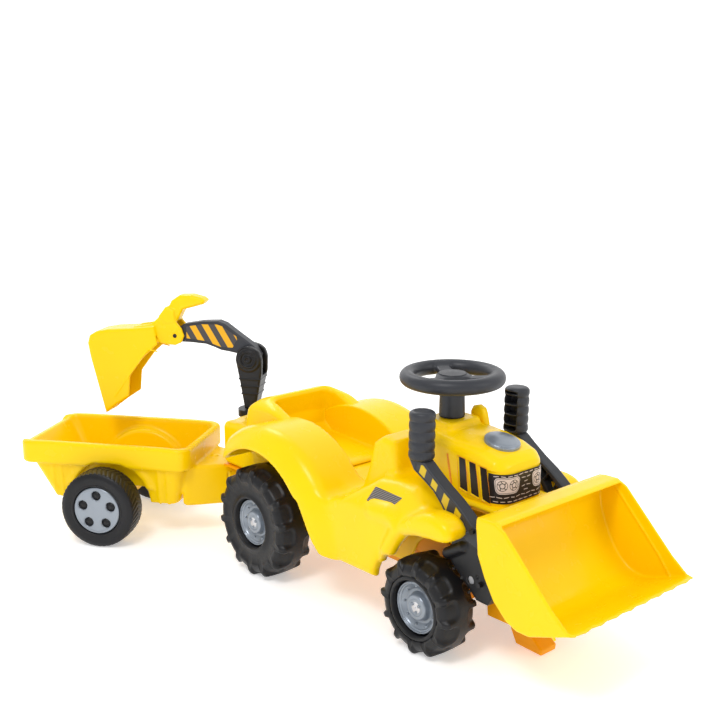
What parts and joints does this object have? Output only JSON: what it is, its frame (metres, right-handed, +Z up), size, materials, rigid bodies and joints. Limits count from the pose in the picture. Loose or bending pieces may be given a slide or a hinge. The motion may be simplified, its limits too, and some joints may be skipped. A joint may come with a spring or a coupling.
{
  "type": "ride on digger",
  "caption": "Toddler's ride-on tractor with a lifting front loader, a rear digging arm on a slewing post, and a two-wheel tipping-shape trailer hitched behind.",
  "frame": {"origin": "on the floor, at the middle of the bounding box of the whole train in its rest pose", "axes": "+X forward along the tractor, +Y to the tractor's left, +Z up"},
  "size_m": [1.3059, 0.5492, 0.4597],
  "materials": {
    "yellow_plastic": "glossy moulded polyethylene",
    "dark_grey_plastic": "satin dark grey moulded plastic",
    "black_plastic": "satin black moulded plastic",
    "tyre_plastic": "semi-matt black blow-moulded plastic",
    "silver_plastic": "silver-grey moulded plastic with a pearl sheen",
    "steel": "bright zinc plated",
    "printed_film": "printed self-adhesive film"
  },
  "bodies": {
    "tractor": {"body_shell": "yellow_plastic", "underbody": "yellow_plastic", "seat": "yellow_plastic", "hood": "yellow_plastic", "hood_cap": "silver_plastic", "hood_stub": "yellow_plastic", "grille_sticker": "printed_film", "hood_side_stickers": "printed_film", "steering_bush": "black_plastic", "rear_axle": "steel", "rear_axle_keepers": "steel", "loader_pivot_rod": "steel", "loader_spacers": "black_plastic", "front_skid": "yellow_plastic", "digger_base": "black_plastic", "hitch_bracket": "black_plastic", "underbody_screws": "steel"},
    "steering": {"steering_wheel": "dark_grey_plastic", "steering_sleeve": "dark_grey_plastic", "steering_wheel_cap": "dark_grey_plastic", "steering_rod": "steel"},
    "drag_link": {"drag_link": "black_plastic"},
    "front_axle": {"front_axle_carrier": "black_plastic", "front_axle": "steel", "front_axle_keepers": "steel"},
    "loader": {"loader_arm_right": "dark_grey_plastic", "loader_arm_left": "dark_grey_plastic", "loader_arm_sticker_right": "printed_film", "loader_arm_sticker_left": "printed_film", "loader_grip_right": "dark_grey_plastic", "loader_grip_left": "dark_grey_plastic", "loader_bucket": "yellow_plastic", "loader_bucket_pins": "black_plastic"},
    "digger_post": {"digger_post": "black_plastic", "digger_boom_pin": "black_plastic"},
    "digger_boom": {"digger_boom": "dark_grey_plastic", "digger_boom_stickers": "printed_film", "digger_bucket_pin": "black_plastic"},
    "digger_bucket": {"digger_bucket": "yellow_plastic"},
    "trailer": {"trailer_tub": "yellow_plastic", "trailer_axle_mount": "yellow_plastic", "trailer_tongue": "yellow_plastic", "hitch_pin": "black_plastic", "trailer_axle": "steel", "trailer_axle_keepers": "steel"},
    "rear_wheel_right": {"rear_wheel_right": "tyre_plastic", "rear_hub_cap_right": "silver_plastic"},
    "rear_wheel_left": {"rear_wheel_left": "tyre_plastic", "rear_hub_cap_left": "silver_plastic"},
    "front_wheel_right": {"front_wheel_right": "tyre_plastic", "front_hub_cap_right": "silver_plastic"},
    "front_wheel_left": {"front_wheel_left": "tyre_plastic", "front_hub_cap_left": "silver_plastic"},
    "trailer_wheel_right": {"trailer_wheel_right": "tyre_plastic", "trailer_hub_cap_right": "silver_plastic"},
    "trailer_wheel_left": {"trailer_wheel_left": "tyre_plastic", "trailer_hub_cap_left": "silver_plastic"}
  },
  "joints": [
    {"name": "steering_turn", "type": "hinge", "parent": "tractor", "child": "steering", "pos_m": [0.28195, 0.10264, 0.4], "axis": [0, 0, 1], "range_deg": [-6, 6]},
    {"name": "drag_link_swing", "type": "hinge", "parent": "steering", "child": "drag_link", "pos_m": [0.28195, 0.13664, 0.1], "axis": [0, 0, 1], "range_deg": [-6, 6]},
    {"name": "front_axle_swing", "type": "hinge", "parent": "tractor", "child": "front_axle", "pos_m": [0.35795, 0.10264, 0.0774], "axis": [0, 0, 1], "range_deg": [-6, 6]},
    {"name": "loader_lift", "type": "hinge", "parent": "tractor", "child": "loader", "pos_m": [0.43995, 0.10264, 0.14], "axis": [0, -1, 0], "range_deg": [-20, 5]},
    {"name": "digger_slew", "type": "hinge", "parent": "tractor", "child": "digger_post", "pos_m": [-0.26805, 0.10264, 0.236], "axis": [0, 0, 1], "range_deg": [-110, 40]},
    {"name": "digger_boom_lift", "type": "hinge", "parent": "digger_post", "child": "digger_boom", "pos_m": [-0.26559, 0.10436, 0.34], "axis": [-0.5736, 0.8192, 0], "range_deg": [-1, 45]},
    {"name": "digger_bucket_curl", "type": "hinge", "parent": "digger_boom", "child": "digger_bucket", "pos_m": [-0.39092, 0.0166, 0.379], "axis": [-0.5736, 0.8192, 0], "range_deg": [-6, 18]},
    {"name": "trailer_swing", "type": "hinge", "parent": "tractor", "child": "trailer", "pos_m": [-0.19405, 0.10264, 0.125], "axis": [0, 0, 1], "range_deg": [-81.4, 8.6]},
    {"name": "rear_wheel_spin_right", "type": "hinge", "parent": "tractor", "child": "rear_wheel_right", "pos_m": [-0.04605, -0.03236, 0.1], "axis": [0, 1, 0], "continuous": true},
    {"name": "front_wheel_spin_right", "type": "hinge", "parent": "front_axle", "child": "front_wheel_right", "pos_m": [0.35795, -0.02336, 0.0774], "axis": [0, 1, 0], "continuous": true},
    {"name": "trailer_wheel_spin_right", "type": "hinge", "parent": "trailer", "child": "trailer_wheel_right", "pos_m": [-0.36163, -0.1874, 0.0744], "axis": [-0.5934, 0.8049, 0], "continuous": true},
    {"name": "rear_wheel_spin_left", "type": "hinge", "parent": "tractor", "child": "rear_wheel_left", "pos_m": [-0.04605, 0.23764, 0.1], "axis": [0, 1, 0], "continuous": true},
    {"name": "front_wheel_spin_left", "type": "hinge", "parent": "front_axle", "child": "front_wheel_left", "pos_m": [0.35795, 0.22864, 0.0774], "axis": [0, 1, 0], "continuous": true},
    {"name": "trailer_wheel_spin_left", "type": "hinge", "parent": "trailer", "child": "trailer_wheel_left", "pos_m": [-0.52067, 0.02832, 0.0744], "axis": [-0.5934, 0.8049, 0], "continuous": true}
  ],
  "couplings": [
    {"joint": "drag_link_swing", "follows": "steering_turn", "ratio": -1},
    {"joint": "front_axle_swing", "follows": "steering_turn", "ratio": 1}
  ]
}
